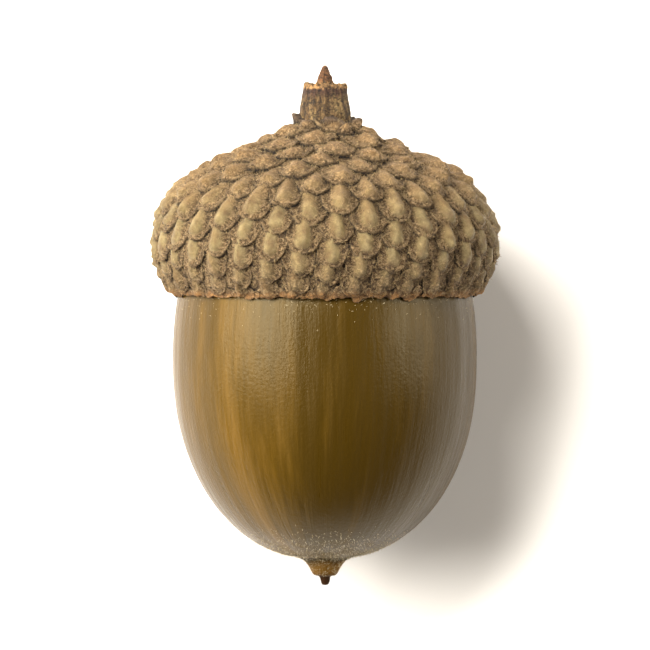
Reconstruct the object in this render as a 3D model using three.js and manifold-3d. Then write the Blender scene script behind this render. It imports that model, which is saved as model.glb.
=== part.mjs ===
// An acorn lying on its side: a smooth nut seated in a scaly cup, and the stub of stalk that bore it.
// Millimetres, +Z up. It lies on the plane Z = 0 and the stalk points along +Y.
//
// Each piece is first made in the acorn's own frame: its axis is Y, the rim of the cup lies at Y = 0 with
// the stalk above it and the nut's tip below, and an angle of 0 about the axis looks along +Z.
import * as THREE from "three";
import { ConvexHull } from "three/addons/math/ConvexHull.js";
import { mergeVertices } from "three/addons/utils/BufferGeometryUtils.js";
import Module from "manifold-3d";

const wasm = await Module();
wasm.setup();

// Nut: half a superellipse below its widest ring and half of one above it, with a nipple at the tip
const NUT_RADIUS = 10;
const NUT_WIDEST_AT = -4.1;
const NUT_BELOW = 13.3;
const NUT_ABOVE = 13.1;
const NUT_POWER_BELOW = 2.2;
const NUT_POWER_ABOVE = 2.3;
const NUT_SIDES = 48;
const NUT_RINGS_BELOW = 16;
const NUT_RINGS_ABOVE = 8;
const CLOSEST_RINGS = 0.2;
const SCAR_AT = 8.5;
// Radius and height of the nipple, from its dry tip to where it runs out into the nut
const NIPPLE = [
  [0, -19.1],
  [0.26, -19],
  [0.36, -18.55],
  [0.72, -18.42],
  [1.02, -17.95],
  [1.4, -17.45],
  [2.05, -17.16],
];

// Cup: the line over the tops of its scales, as radius and height, from the stalk to the rim
const CREST = [
  [1.75, 12.2],
  [2.4, 11.7],
  [3.75, 11.05],
  [5.7, 10.1],
  [8.1, 8.95],
  [10, 7.4],
  [11, 5.85],
  [11.5, 4.5],
  [11.6, 3.3],
  [11.35, 2.15],
  [10.75, 1.05],
  [10.05, 0],
];
// Clearance of the cup round the nut and the stalk
const SEAT_GAP = 0.15;
// How far the skin between the scales lies beneath the crest
const RELIEF_AT_CROWN = 0.85;
const RELIEF_AT_RIM = 0.3;
const RELIEF_POWER = 1.6;
const CROWN_SIDES = 14;
const RIM_SIDES = 68;

// Scales: one every DIVERGENCE degrees round the cup, each with its own share of the skin in mm2
const DIVERGENCE = 137.6;
const FIRST_ANGLE = 20;
const SHARE_AT_CROWN = 5;
const SHARE_AT_RIM = 2;
const SHARE_POWER = 3;
const SKIN_STEPS = 400;
const TURN_SPREAD = 7;
const SIZE_SPREAD = 0.06;
const SEED = 11;
// A scale's half breadth along it, from its heel to its tip at the rim's side. This and the points on a
// scale are in widths of its share, and heights are in reliefs.
const SCALE_HEEL = -0.66;
const SCALE_TIP = 0.76;
const SCALE_BREADTH = [
  [SCALE_HEEL, 0.2],
  [-0.3, 0.5],
  [0.12, 0.58],
  [0.52, 0.38],
  [SCALE_TIP, 0.02],
];
const HEEL_HEIGHT = -0.1;
const EDGE_DROP = 0.45;
// The points of a scale that the cup's face is drawn through: its back, its edge and the ground beyond
const KEEL_POINTS = [
  [-0.2, 0],
  [0.12, 0],
  [0.44, 0],
  [0.3, 0.24],
  [0.02, 0.3],
];
const EDGE_POINTS = [
  [SCALE_TIP - 0.02, 0],
  [0.66, 0.18],
  [0.5, 0.36],
  [0.3, 0.46],
  [0.08, 0.54],
  [-0.2, 0.5],
];
const FOOT_POINTS = [
  [SCALE_TIP + 0.07, 0],
  [0.74, 0.22],
  [0.58, 0.43],
  [0.36, 0.55],
  [0.1, 0.64],
];
const CLOSEST_POINTS = 0.1;
const HIDDEN_BY = 0.02;

// Stalk: a stub with a torn top, and a pointed thread of wood standing on it
const STALK_FOOT_AT = 10.2;
const STALK = [
  [0, STALK_FOOT_AT],
  [1.45, STALK_FOOT_AT],
  [1.62, 11.7],
  [1.56, 12.5],
  [1.45, 13.3],
  [1.42, 13.75],
  [1.28, 13.95],
  [0.58, 13.88],
  [0.42, 14.3],
  [0.2, 14.95],
  [0, 15.25],
];
// The point of the outline at which the stalk leaves the cup
const STALK_LEAVES = 4;
const STALK_SIDES = 24;
const STALK_FLUTES = 8;
const FLUTE_DEPTH = 0.03;

// How it lies: the lowest scales and the nut's side are flattened by these depths, and it rests on them
const CUP_FLAT = 0.28;
const NUT_FLAT = 0.1;
const SLAB_SIZE = 80;
const SAME_POINT = 1e-4;

const CUP_LOOK = new THREE.MeshStandardMaterial({ color: 0xa08a5e, roughness: 0.85, metalness: 0 });
const NUT_LOOK = new THREE.MeshStandardMaterial({ color: 0x7d5f28, roughness: 0.38, metalness: 0 });
const STALK_LOOK = new THREE.MeshStandardMaterial({ color: 0x7a6040, roughness: 0.9, metalness: 0 });

// A seeded source of numbers from -1 to 1
function spread(seed) {
  let state = seed;
  return () => {
    state = (state * 16807) % 2147483647;
    return (2 * state) / 2147483647 - 1;
  };
}

const pointsOf = (pairs) => pairs.map(([radius, height]) => new THREE.Vector2(radius, height));

// A closed geometry as a solid that can be joined and cut
function solidOf(geometry) {
  const bare = new THREE.BufferGeometry();
  bare.setAttribute("position", geometry.getAttribute("position"));
  bare.setIndex(geometry.index);
  const merged = mergeVertices(bare, SAME_POINT);
  const vertProperties = merged.getAttribute("position").array;
  const triVerts = new Uint32Array(merged.index.array);
  return new wasm.Manifold(new wasm.Mesh({ numProp: 3, vertProperties, triVerts }));
}

// The largest body of a solid as a mesh, with sealed hollows filled and loose scraps dropped
function meshOf(name, solid, look) {
  const [body] = solid.decompose().sort((a, b) => b.volume() - a.volume());
  const { vertProperties, triVerts } = body.getMesh();
  const geometry = new THREE.BufferGeometry();
  geometry.setAttribute("position", new THREE.BufferAttribute(vertProperties, 3));
  geometry.setIndex(new THREE.BufferAttribute(triVerts, 1));
  geometry.computeVertexNormals();
  const mesh = new THREE.Mesh(geometry, look);
  mesh.name = name;
  return mesh;
}

// The nut's side from its widest ring, down for a negative reach or up, grown outwards by a margin
function nutSide(reach, power, rings, margin = 0) {
  const side = [];
  for (let ring = 0; ring <= rings; ring += 1) {
    const turn = (ring / rings) * (Math.PI / 2);
    const radius = (NUT_RADIUS + margin) * Math.cos(turn) ** (2 / power);
    const height = (Math.abs(reach) + margin) * Math.sin(turn) ** (2 / power);
    side.push(new THREE.Vector2(radius, NUT_WIDEST_AT + Math.sign(reach) * height));
  }
  return side;
}

// The nut's outline from the nipple's foot to the edge of its scar, grown outwards by a margin
function nutOutline(margin = 0) {
  const foot = NIPPLE.at(-1)[1];
  const below = nutSide(-NUT_BELOW, NUT_POWER_BELOW, NUT_RINGS_BELOW, margin);
  const above = nutSide(NUT_ABOVE, NUT_POWER_ABOVE, NUT_RINGS_ABOVE, margin);
  const top = SCAR_AT + margin;
  const share = (top - NUT_WIDEST_AT) / (NUT_ABOVE + margin);
  const scar = (NUT_RADIUS + margin) * (1 - share ** NUT_POWER_ABOVE) ** (1 / NUT_POWER_ABOVE);
  return [
    ...below.reverse().filter((point) => point.y > foot + CLOSEST_RINGS),
    ...above.slice(1).filter((point) => point.y < top - CLOSEST_RINGS),
    new THREE.Vector2(scar, top),
    new THREE.Vector2(0, top),
  ];
}

function makeNut() {
  return solidOf(new THREE.LatheGeometry([...pointsOf(NIPPLE), ...nutOutline()], NUT_SIDES));
}

// The room that the nut takes up in the cup
function makeSeat() {
  const outline = nutOutline(SEAT_GAP);
  return solidOf(new THREE.LatheGeometry([new THREE.Vector2(0, outline[0].y), ...outline], NUT_SIDES));
}

// The stalk's outline turned round, with flutes down its side
function makeStalk() {
  const geometry = new THREE.LatheGeometry(pointsOf(STALK), STALK_SIDES);
  const position = geometry.getAttribute("position");
  for (let i = 0; i < position.count; i += 1) {
    const angle = Math.atan2(position.getX(i), position.getZ(i));
    const fluted = 1 - FLUTE_DEPTH * (1 - Math.cos(angle * STALK_FLUTES));
    position.setX(i, position.getX(i) * fluted);
    position.setZ(i, position.getZ(i) * fluted);
  }
  return solidOf(geometry);
}

// The room that the stalk takes up in the cup
function makeSocket() {
  const foot = STALK_FOOT_AT - SEAT_GAP;
  const side = STALK.slice(1, STALK_LEAVES + 1).map(([radius, height]) => [radius + SEAT_GAP, height]);
  const [lowest, ...rest] = side;
  const outline = pointsOf([[0, foot], [lowest[0], foot], ...rest, [0, side.at(-1)[1]]]);
  return solidOf(new THREE.LatheGeometry(outline, STALK_SIDES));
}

const crest = new THREE.SplineCurve(pointsOf(CREST));
const crestLength = crest.getLength();

const reliefAt = (along) => THREE.MathUtils.lerp(RELIEF_AT_CROWN, RELIEF_AT_RIM, along ** RELIEF_POWER);

// A point of the cup's outer face: its place along the skin from stalk to rim, its angle, and its height
// over the skin in reliefs
function facePoint(along, angle, height) {
  const down = crest.getTangentAt(along);
  const lift = (height - 1) * reliefAt(along);
  const point = crest.getPointAt(along).add(new THREE.Vector2(-down.y, down.x).multiplyScalar(lift));
  return new THREE.Vector3(point.x * Math.sin(angle), point.y, point.x * Math.cos(angle));
}

// Where each scale sits, and how it is turned and sized
function scalePlaces() {
  const draw = spread(SEED);
  const places = [];
  let filled = 0;
  for (let step = 0; step < SKIN_STEPS; step += 1) {
    const along = (step + 0.5) / SKIN_STEPS;
    const radius = crest.getPointAt(along).x;
    const share = THREE.MathUtils.lerp(SHARE_AT_CROWN, SHARE_AT_RIM, along ** SHARE_POWER);
    filled += (2 * Math.PI * radius * crestLength) / SKIN_STEPS / share;
    if (filled > places.length + 0.5) {
      const angle = THREE.MathUtils.degToRad(FIRST_ANGLE + DIVERGENCE * places.length);
      const turn = THREE.MathUtils.degToRad(draw() * TURN_SPREAD);
      places.push({ along, radius, angle, turn, width: Math.sqrt(share) * (1 + draw() * SIZE_SPREAD) });
    }
  }
  return places;
}

// A point given on a scale, as a place on the skin
function fromScale(scale, [length, breadth]) {
  const turned = new THREE.Vector2(length, breadth).rotateAround(new THREE.Vector2(), scale.turn);
  turned.multiplyScalar(scale.width);
  return { along: scale.along + turned.x / crestLength, angle: scale.angle + turned.y / scale.radius };
}

// A place on the skin, as a point on a scale
function toScale(scale, { along, angle }) {
  const round = Math.atan2(Math.sin(angle - scale.angle), Math.cos(angle - scale.angle));
  const point = new THREE.Vector2((along - scale.along) * crestLength, round * scale.radius);
  return point.rotateAround(new THREE.Vector2(), -scale.turn).divideScalar(scale.width);
}

// How high a scale stands at a point on it: it rises from heel to tip, and falls from keel to edge
function scaleHeight({ x: length, y: breadth }) {
  const next = SCALE_BREADTH.findIndex(([end]) => end > length);
  if (next < 1) return 0;
  const [start, first] = SCALE_BREADTH[next - 1];
  const [end, last] = SCALE_BREADTH[next];
  const reach = THREE.MathUtils.mapLinear(length, start, end, first, last);
  if (Math.abs(breadth) > reach) return 0;
  const rise = THREE.MathUtils.mapLinear(length, SCALE_HEEL, SCALE_TIP, HEEL_HEIGHT, 1);
  return rise * (1 - EDGE_DROP * (breadth / reach) ** 2);
}

// The places that the cup's outer face is drawn through: a ring at each end, then the points of each scale
// that no other scale lies over, where they aren't crowded
function facePlaces() {
  const scales = scalePlaces();
  const places = [];
  const grounds = [];
  const add = (place) => {
    places.push(place);
    grounds.push(facePoint(place.along, place.angle, 0));
  };
  const addRing = (along, sides) => {
    for (let i = 0; i < sides; i += 1) add({ along, angle: (i / sides) * 2 * Math.PI, height: 0 });
  };
  const addFromScale = (scale, point, mayBeHidden) => {
    const place = fromScale(scale, point);
    if (place.along < 0 || place.along > 1) return;
    const height = Math.max(...scales.map((other) => scaleHeight(toScale(other, place))));
    const hidden = height > scaleHeight(new THREE.Vector2(...point)) + HIDDEN_BY;
    const ground = facePoint(place.along, place.angle, 0);
    const crowded = grounds.some((other) => other.distanceTo(ground) < CLOSEST_POINTS * scale.width);
    if ((mayBeHidden || !hidden) && !crowded) add({ ...place, height });
  };
  addRing(0, CROWN_SIDES);
  addRing(1, RIM_SIDES);
  for (const points of [EDGE_POINTS, FOOT_POINTS, KEEL_POINTS]) {
    const bothSides = points.flatMap(([x, y]) => (y ? [[x, y], [x, -y]] : [[x, y]]));
    for (const scale of scales) {
      for (const point of bothSides) addFromScale(scale, point, points === FOOT_POINTS);
    }
  }
  return places;
}

// An even net of triangles over places on the skin: the hull of the same places on a ball, to which the
// skin is carried so that small shapes keep their form
function netOver(places) {
  const steps = [0];
  for (let step = 0; step < SKIN_STEPS; step += 1) {
    const { x: radius } = crest.getPointAt((step + 0.5) / SKIN_STEPS);
    steps.push(steps[step] + crestLength / SKIN_STEPS / radius);
  }
  const middle = steps[SKIN_STEPS] / 2;
  const order = new Map();
  const ball = places.map(({ along, angle }, i) => {
    const step = Math.min(Math.floor(along * SKIN_STEPS), SKIN_STEPS - 1);
    const reach = THREE.MathUtils.lerp(steps[step], steps[step + 1], along * SKIN_STEPS - step);
    const fromPole = 2 * Math.atan(Math.exp(reach - middle));
    const point = new THREE.Vector3().setFromSphericalCoords(1, fromPole, angle);
    order.set(point, i);
    return point;
  });
  return new ConvexHull()
    .setFromPoints(ball)
    .faces.flatMap(({ edge }) => [edge, edge.next, edge.next.next])
    .map((side) => order.get(side.head().point));
}

// The cup: its outer face drawn over its scales, closed across, less the room for nut and stalk
function makeCup() {
  const places = facePlaces();
  const geometry = new THREE.BufferGeometry().setFromPoints(
    places.map(({ along, angle, height }) => facePoint(along, angle, height)),
  );
  geometry.setIndex(netOver(places));
  return solidOf(geometry).subtract(makeSeat()).subtract(makeSocket());
}

// The plane it rests on: the line, beneath the axis, that the nut's side and the cup's crest both touch
function restLine() {
  const cupSide = crest.getPoints(SKIN_STEPS).map(({ x, y }) => new THREE.Vector2(x - CUP_FLAT, y));
  const nutPoints = nutSide(-NUT_BELOW, NUT_POWER_BELOW, SKIN_STEPS);
  const nutSidePoints = nutPoints.slice(1, -1).map(({ x, y }) => new THREE.Vector2(x - NUT_FLAT, y));
  let best = { depth: 0, lean: 0 };
  for (const low of nutSidePoints) {
    for (const high of cupSide) {
      const way = high.clone().sub(low);
      const depth = low.x - (way.x * low.y) / way.y;
      if (depth > best.depth) best = { depth, lean: Math.atan2(way.x, way.y) };
    }
  }
  return best;
}

const { depth, lean } = restLine();
const acorn = new THREE.Group();
acorn.rotation.x = lean;
acorn.position.z = depth * Math.cos(lean);
acorn.updateMatrix();

const ground = new THREE.BoxGeometry(SLAB_SIZE, SLAB_SIZE, SLAB_SIZE);
ground.translate(0, 0, -SLAB_SIZE / 2);
ground.applyMatrix4(acorn.matrix.clone().invert());
const slab = solidOf(ground);

acorn.add(meshOf("nut", makeNut().subtract(slab), NUT_LOOK));
acorn.add(meshOf("cup", makeCup().subtract(slab), CUP_LOOK));
acorn.add(meshOf("stalk", makeStalk(), STALK_LOOK));

// The middle of its outline, seen from above, stands over the origin
const part = new THREE.Group();
part.add(acorn);
const middle = new THREE.Box3().setFromObject(part, true).getCenter(new THREE.Vector3());
acorn.position.x -= middle.x;
acorn.position.y -= middle.y;

export default part;
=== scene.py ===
"""An acorn lying on its side, seen from above: a glossy nut in a cup of felted scales, and its stalk.

Every piece is first made in the acorn's own frame, in millimetres: its axis is Y, the rim of the cup lies
at Y = 0 with the stalk above it and the nut's tip below, and an angle of 0 about the axis looks along +Z.
"""
import logging
import math
from dataclasses import dataclass, field
from enum import Enum
from functools import partial
from typing import Any, Sequence

import bpy
import numpy as np
from mathutils import Matrix, Vector, noise


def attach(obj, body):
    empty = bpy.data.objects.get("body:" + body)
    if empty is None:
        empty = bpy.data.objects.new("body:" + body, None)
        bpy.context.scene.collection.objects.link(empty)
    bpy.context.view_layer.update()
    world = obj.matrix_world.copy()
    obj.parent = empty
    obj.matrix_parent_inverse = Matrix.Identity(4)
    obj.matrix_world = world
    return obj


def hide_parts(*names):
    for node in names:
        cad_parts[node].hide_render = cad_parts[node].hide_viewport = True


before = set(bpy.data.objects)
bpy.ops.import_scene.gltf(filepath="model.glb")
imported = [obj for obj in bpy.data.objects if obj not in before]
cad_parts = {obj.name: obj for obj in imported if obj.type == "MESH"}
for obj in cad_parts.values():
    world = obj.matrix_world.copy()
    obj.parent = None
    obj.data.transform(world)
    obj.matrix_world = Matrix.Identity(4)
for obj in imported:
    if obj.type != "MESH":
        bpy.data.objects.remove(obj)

LOG = logging.getLogger("acorn")
MM = 0.001

# The colour inputs and the colour output of a mix node
MIX_A, MIX_B, MIX_COLOUR = 6, 7, 2

Faces = list[tuple[int, ...]]
Inputs = Sequence[Any] | dict[int | str, Any]


class Piece(Enum):
    """The pieces of the acorn, by the name of the solid that each stands for."""

    NUT = "nut"
    CUP = "cup"
    STALK = "stalk"


def linear(colour: str) -> tuple[float, float, float, float]:
    """Turns an sRGB hex colour into linear red, green, blue and an opacity of 1.

    Args:
        colour: six hex digits after a hash.

    Returns:
        The four linear values.
    """
    parts = [int(colour[i : i + 2], 16) / 255 for i in (1, 3, 5)]
    red, green, blue = (p / 12.92 if p <= 0.04045 else ((p + 0.055) / 1.055) ** 2.4 for p in parts)
    return red, green, blue, 1.0


def feed(node: bpy.types.Node, inputs: Inputs) -> None:
    """Gives a node's inputs their values, or the links that feed them.

    Args:
        node: the node.
        inputs: values or outputs, in the order of the node's inputs or by their name or number.
    """
    for key, value in inputs.items() if isinstance(inputs, dict) else enumerate(inputs):
        if isinstance(value, bpy.types.NodeSocket):
            node.id_data.links.new(value, node.inputs[key])
        else:
            node.inputs[key].default_value = value


def add_node(
    tree: bpy.types.NodeTree,
    kind: str,
    inputs: Inputs = (),
    output: int | str = 0,
    stops: Sequence[tuple[float, str]] = (),
    **settings: Any,
) -> bpy.types.NodeSocket | None:
    """Adds a node to a tree, with its settings, its inputs' values and the links into it.

    Args:
        tree: the shader or geometry tree.
        kind: the node's type.
        inputs: what its inputs hold, as for feed.
        output: the name or number of the output that is wanted.
        stops: a colour ramp's stops, each with its place and its sRGB colour.
        settings: the node's own properties.

    Returns:
        The output that is wanted, if the node has any.
    """
    node = tree.nodes.new(kind)
    for name, value in settings.items():
        setattr(node, name, value)
    feed(node, inputs)
    if stops:
        elements = node.color_ramp.elements
        while len(elements) < len(stops):
            elements.new(1.0)
        for element, (place, colour) in zip(elements, stops):
            element.position = place
            element.color = linear(colour)
    return node.outputs[output] if node.outputs else None


@dataclass
class AcornFrame:
    """Where the acorn's own frame lies: its origin is the middle of the cup's rim, on the axis."""

    tip_at: float = -19.1
    origin: Vector = field(default_factory=Vector)
    lean: float = 0.0

    @classmethod
    def from_solids(cls) -> "AcornFrame":
        """Reads the frame from the two solids whose end points lie on the axis.

        Returns:
            The frame.
        """
        nut, stalk = (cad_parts[piece.value] for piece in (Piece.NUT, Piece.STALK))
        tip = min((v.co for v in nut.data.vertices), key=lambda co: co.y)
        end = max((v.co for v in stalk.data.vertices), key=lambda co: co.y)
        way = (end - tip).normalized()
        return cls(origin=tip - way * cls.tip_at * MM, lean=math.atan2(way.z, way.y))

    @property
    def matrix(self) -> Matrix:
        """The acorn's frame in millimetres to the world in metres."""
        return Matrix.Translation(self.origin) @ Matrix.Rotation(self.lean, 4, "X") @ Matrix.Scale(MM, 4)

    def coordinates(self, tree: bpy.types.NodeTree) -> bpy.types.NodeSocket:
        """Adds nodes that give a surface point in the acorn's own frame, in millimetres.

        Args:
            tree: the material's tree.

        Returns:
            The output that carries the point.
        """
        place = self.matrix.inverted()
        source = add_node(tree, "ShaderNodeTexCoord", output="Object")
        inputs = [source, place.translation, place.to_euler(), (1 / MM, 1 / MM, 1 / MM)]
        return add_node(tree, "ShaderNodeMapping", inputs, vector_type="POINT")


def smooth_line(corners: np.ndarray, steps: int) -> np.ndarray:
    """Runs a smooth curve through points.

    Args:
        corners: the points, one in each row.
        steps: how many points to give back, spaced evenly.

    Returns:
        The points of the curve.
    """
    last = len(corners) - 1
    rows = []
    for share in np.linspace(0, last, 100 * last + 1):
        i = min(int(share), last - 1)
        t = share - i
        before, start, end, after = (corners[min(max(i + k, 0), last)] for k in (-1, 0, 1, 2))
        first, second = (end - before) / 2, (after - start) / 2
        cubic = 2 * start - 2 * end + first + second
        square = -3 * start + 3 * end - 2 * first - second
        rows.append(cubic * t**3 + square * t**2 + first * t + start)
    rows = np.array(rows)
    reach = np.r_[0, np.cumsum(np.linalg.norm(np.diff(rows, axis=0), axis=1))]
    even = np.linspace(0, reach[-1], steps + 1)
    return np.stack([np.interp(even, reach, rows[:, k]) for k in range(corners.shape[1])], axis=1)


@dataclass
class Crest:
    """The line over the tops of the cup's scales, from the stalk to the rim, as radius and height."""

    corners: tuple[tuple[float, float], ...] = (
        (1.75, 12.2),
        (2.4, 11.7),
        (3.72, 10.95),
        (5.65, 9.98),
        (8.0, 8.8),
        (9.88, 7.27),
        (10.86, 5.78),
        (11.34, 4.45),
        (11.44, 3.3),
        (11.22, 2.18),
        (10.75, 1.05),
        (10.05, 0.0),
    )
    steps: int = 400
    relief_at_crown: float = 0.85
    relief_at_rim: float = 0.3
    relief_power: float = 1.6

    def __post_init__(self) -> None:
        """Works out the line's points, spaced evenly along it, and its length."""
        self.points = smooth_line(np.array(self.corners), self.steps)
        self.length = float(np.linalg.norm(np.diff(self.points, axis=0), axis=1).sum())

    def at(self, along: np.ndarray) -> tuple[np.ndarray, np.ndarray]:
        """Gives points on the line, and the ways out of the cup there.

        Args:
            along: shares of the way from stalk to rim.

        Returns:
            The radius and height of each point, and those of each outward way.
        """
        even = np.linspace(0, 1, self.steps + 1)
        points = np.stack([np.interp(along, even, self.points[:, k]) for k in (0, 1)], axis=-1)
        slopes = np.gradient(self.points, axis=0)
        down = np.stack([np.interp(along, even, slopes[:, k]) for k in (0, 1)], axis=-1)
        down /= np.linalg.norm(down, axis=-1, keepdims=True)
        return points, np.stack([-down[..., 1], down[..., 0]], axis=-1)

    def relief(self, along: np.ndarray) -> np.ndarray:
        """How far the skin between the scales lies beneath the crest."""
        return self.relief_at_crown + (self.relief_at_rim - self.relief_at_crown) * along**self.relief_power


def make_object(name: str, mesh: bpy.types.Mesh, finish: str = "") -> bpy.types.Object:
    """Makes an object of a mesh, at the origin.

    Args:
        name: the object's name.
        mesh: its mesh.
        finish: the name of its material, if it has one.

    Returns:
        The object.
    """
    made = bpy.data.objects.new(name, mesh)
    bpy.context.scene.collection.objects.link(made)
    if finish:
        mesh.materials.clear()
        mesh.materials.append(bpy.data.materials[finish])
    return made


def mesh_of(name: str, points: np.ndarray, faces: Faces) -> bpy.types.Mesh:
    """Makes a smooth mesh of points and faces.

    Args:
        name: the mesh's name.
        points: its points, one in each row.
        faces: the points round each face, by their numbers.

    Returns:
        The mesh.
    """
    mesh = bpy.data.meshes.new(name)
    mesh.from_pydata([tuple(map(float, point)) for point in points], [], faces)
    mesh.polygons.foreach_set("use_smooth", [True] * len(mesh.polygons))
    mesh.update()
    return mesh


def set_attribute(mesh: bpy.types.Mesh, name: str, values: np.ndarray) -> None:
    """Stores one number for each point of a mesh, or one vector where the values have three columns.

    Args:
        mesh: the mesh.
        name: the attribute's name.
        values: the numbers or vectors, in the order of the points.
    """
    kind, key = ("FLOAT_VECTOR", "vector") if values.ndim == 2 else ("FLOAT", "value")
    layer = mesh.attributes.new(name, kind, "POINT")
    layer.data.foreach_set(key, np.ascontiguousarray(values, np.float32).ravel())


def points_of(mesh: bpy.types.Mesh) -> np.ndarray:
    """Reads the points of a mesh.

    Args:
        mesh: the mesh.

    Returns:
        The points, one in each row.
    """
    flat = np.zeros(len(mesh.vertices) * 3)
    mesh.vertices.foreach_get("co", flat)
    return flat.reshape(-1, 3)


def laid_down(name: str, mesh: bpy.types.Mesh, finish: str, place: AcornFrame) -> bpy.types.Object:
    """Makes an object of a mesh where it lies, with what meets the ground pressed flat on it.

    Args:
        name: the object's name.
        mesh: its mesh, in the acorn's frame and in millimetres.
        finish: the name of its material.
        place: where the acorn's frame lies.

    Returns:
        The object.
    """
    mesh.transform(place.matrix)
    points = points_of(mesh)
    points[:, 2] = np.maximum(points[:, 2], 0.0)
    mesh.vertices.foreach_set("co", points.ravel())
    mesh.update()
    return make_object(name, mesh, finish)


def turned(profile: np.ndarray, sides: int) -> tuple[np.ndarray, Faces]:
    """Turns a profile round the axis, closed at a point on the axis at both of its ends.

    Args:
        profile: the radius and height of each ring, from the low end to the high one.
        sides: how many points a ring has.

    Returns:
        The points, ring by ring between the two end points, and the faces.
    """
    rings = profile[1:-1]
    angles = np.linspace(0, 2 * math.pi, sides, endpoint=False)
    radius, height = rings[:, :1], rings[:, 1:]
    grid = np.stack([radius * np.sin(angles), height + 0 * angles, radius * np.cos(angles)], axis=-1)
    low, high = ([[0.0, profile[k, 1], 0.0]] for k in (0, -1))
    points = np.concatenate([low, grid.reshape(-1, 3), high])
    last = len(points) - 1
    faces: Faces = []
    for k in range(sides):
        after = (k + 1) % sides
        faces.append((0, 1 + after, 1 + k))
        faces.append((last, last - sides + k, last - sides + after))
        for ring in range(len(rings) - 1):
            a, b = 1 + ring * sides, 1 + (ring + 1) * sides
            faces.append((a + k, a + after, b + after, b + k))
    return points, faces


def round_axis(points: np.ndarray, least: float = 1e-6) -> tuple[np.ndarray, np.ndarray]:
    """Measures how far points are from the axis, and which way.

    Args:
        points: the points, in millimetres.
        least: the radius that stands in for any smaller one.

    Returns:
        Each point's radius, and the X and Z of its unit way out.
    """
    radius = np.hypot(points[:, 0], points[:, 2])
    return radius, points[:, [0, 2]] / np.maximum(radius, least)[:, None]


def wobble(points: np.ndarray, scale: float, seed: float, octaves: int = 2) -> np.ndarray:
    """Smooth noise from about -1 to 1 at each point.

    Args:
        points: the points, in millimetres.
        scale: how many bumps there are in a millimetre.
        seed: moves the pattern.
        octaves: how many finer layers are added.

    Returns:
        One number for each point.
    """
    shift = Vector((seed, -seed, 0.5 * seed))
    return np.array([noise.fractal(Vector(p) * scale + shift, 1.0, 2.0, octaves) for p in points])


class Recipe:
    """A geometry nodes tree with named inputs, run on a mesh to make a plain mesh of what it grows there."""

    KINDS = {float: "NodeSocketFloat", int: "NodeSocketInt", bpy.types.Object: "NodeSocketObject"}

    def __init__(self, name: str, inputs: dict[str, float | int | bpy.types.Object], finish: str) -> None:
        """Starts the tree.

        Args:
            name: the name of the tree and of the mesh that it makes.
            inputs: the value of each named input.
            finish: the name of the material that the tree gives to what it makes.
        """
        self.name = name
        self.tree = bpy.data.node_groups.new(name, "GeometryNodeTree")
        self.values = inputs
        self.finish = finish
        for way in ("INPUT", "OUTPUT"):
            self.tree.interface.new_socket("Mesh", in_out=way, socket_type="NodeSocketGeometry")
        self.keys = {}
        for label, value in inputs.items():
            kind = self.KINDS[type(value)]
            socket = self.tree.interface.new_socket(label, in_out="INPUT", socket_type=kind)
            self.keys[label] = socket.identifier
        self.add = partial(add_node, self.tree)
        self.given = self.add("NodeGroupInput").node.outputs

    def planted(
        self, spots: dict[str, bpy.types.NodeSocket], model: str, levels: int = 0
    ) -> bpy.types.NodeSocket:
        """Sets a small object on points and makes one mesh of all its copies.

        Args:
            spots: the points, and the rotation and scale of the copy on each.
            model: the name of the input that holds the object.
            levels: how often each face of the copies is split.

        Returns:
            The mesh.
        """
        shape = self.add("GeometryNodeObjectInfo", {"Object": self.given[model]}, "Geometry")
        placed = self.add("GeometryNodeInstanceOnPoints", {"Instance": shape, **spots})
        made = self.add("GeometryNodeRealizeInstances", [placed])
        if not levels:
            return made
        return self.add("GeometryNodeSubdivisionSurface", {"Mesh": made, "Level": levels})

    def roughened(
        self, mesh: bpy.types.NodeSocket, bumps: float, amount: bpy.types.NodeSocket
    ) -> bpy.types.NodeSocket:
        """Shifts each point by noise.

        Args:
            mesh: the mesh.
            bumps: how many bumps there are in a millimetre.
            amount: how far points are shifted, in millimetres.

        Returns:
            The rougher mesh.
        """
        cloud = self.add("ShaderNodeTexNoise", {"Scale": bumps, "Detail": 2.0}, "Color")
        centred = self.add("ShaderNodeVectorMath", [cloud, (0.5, 0.5, 0.5)], operation="SUBTRACT")
        shift = self.add("ShaderNodeVectorMath", {0: centred, "Scale": amount}, operation="SCALE")
        return self.add("GeometryNodeSetPosition", {0: mesh, "Offset": shift})

    def run(
        self, host: bpy.types.Mesh, mesh: bpy.types.NodeSocket, model: bpy.types.Object
    ) -> bpy.types.Mesh:
        """Ends the tree with a mesh in its material, and runs it.

        Args:
            host: the mesh that it grows on.
            mesh: the mesh that the tree makes.
            model: the small object that it copies, which is removed afterwards.

        Returns:
            The mesh made.
        """
        dressed = self.add("GeometryNodeSetMaterial", {0: mesh, "Material": bpy.data.materials[self.finish]})
        self.add("NodeGroupOutput", [dressed])
        carrier = make_object(self.name + "_host", host)
        modifier = carrier.modifiers.new(self.name, "NODES")
        modifier.node_group = self.tree
        for label, value in self.values.items():
            modifier[self.keys[label]] = value
        graph = bpy.context.evaluated_depsgraph_get()
        made = bpy.data.meshes.new_from_object(carrier.evaluated_get(graph), depsgraph=graph)
        made.name = self.name
        carrier.modifiers.remove(modifier)
        bpy.data.objects.remove(carrier)
        bpy.data.objects.remove(model)
        return made


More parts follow.
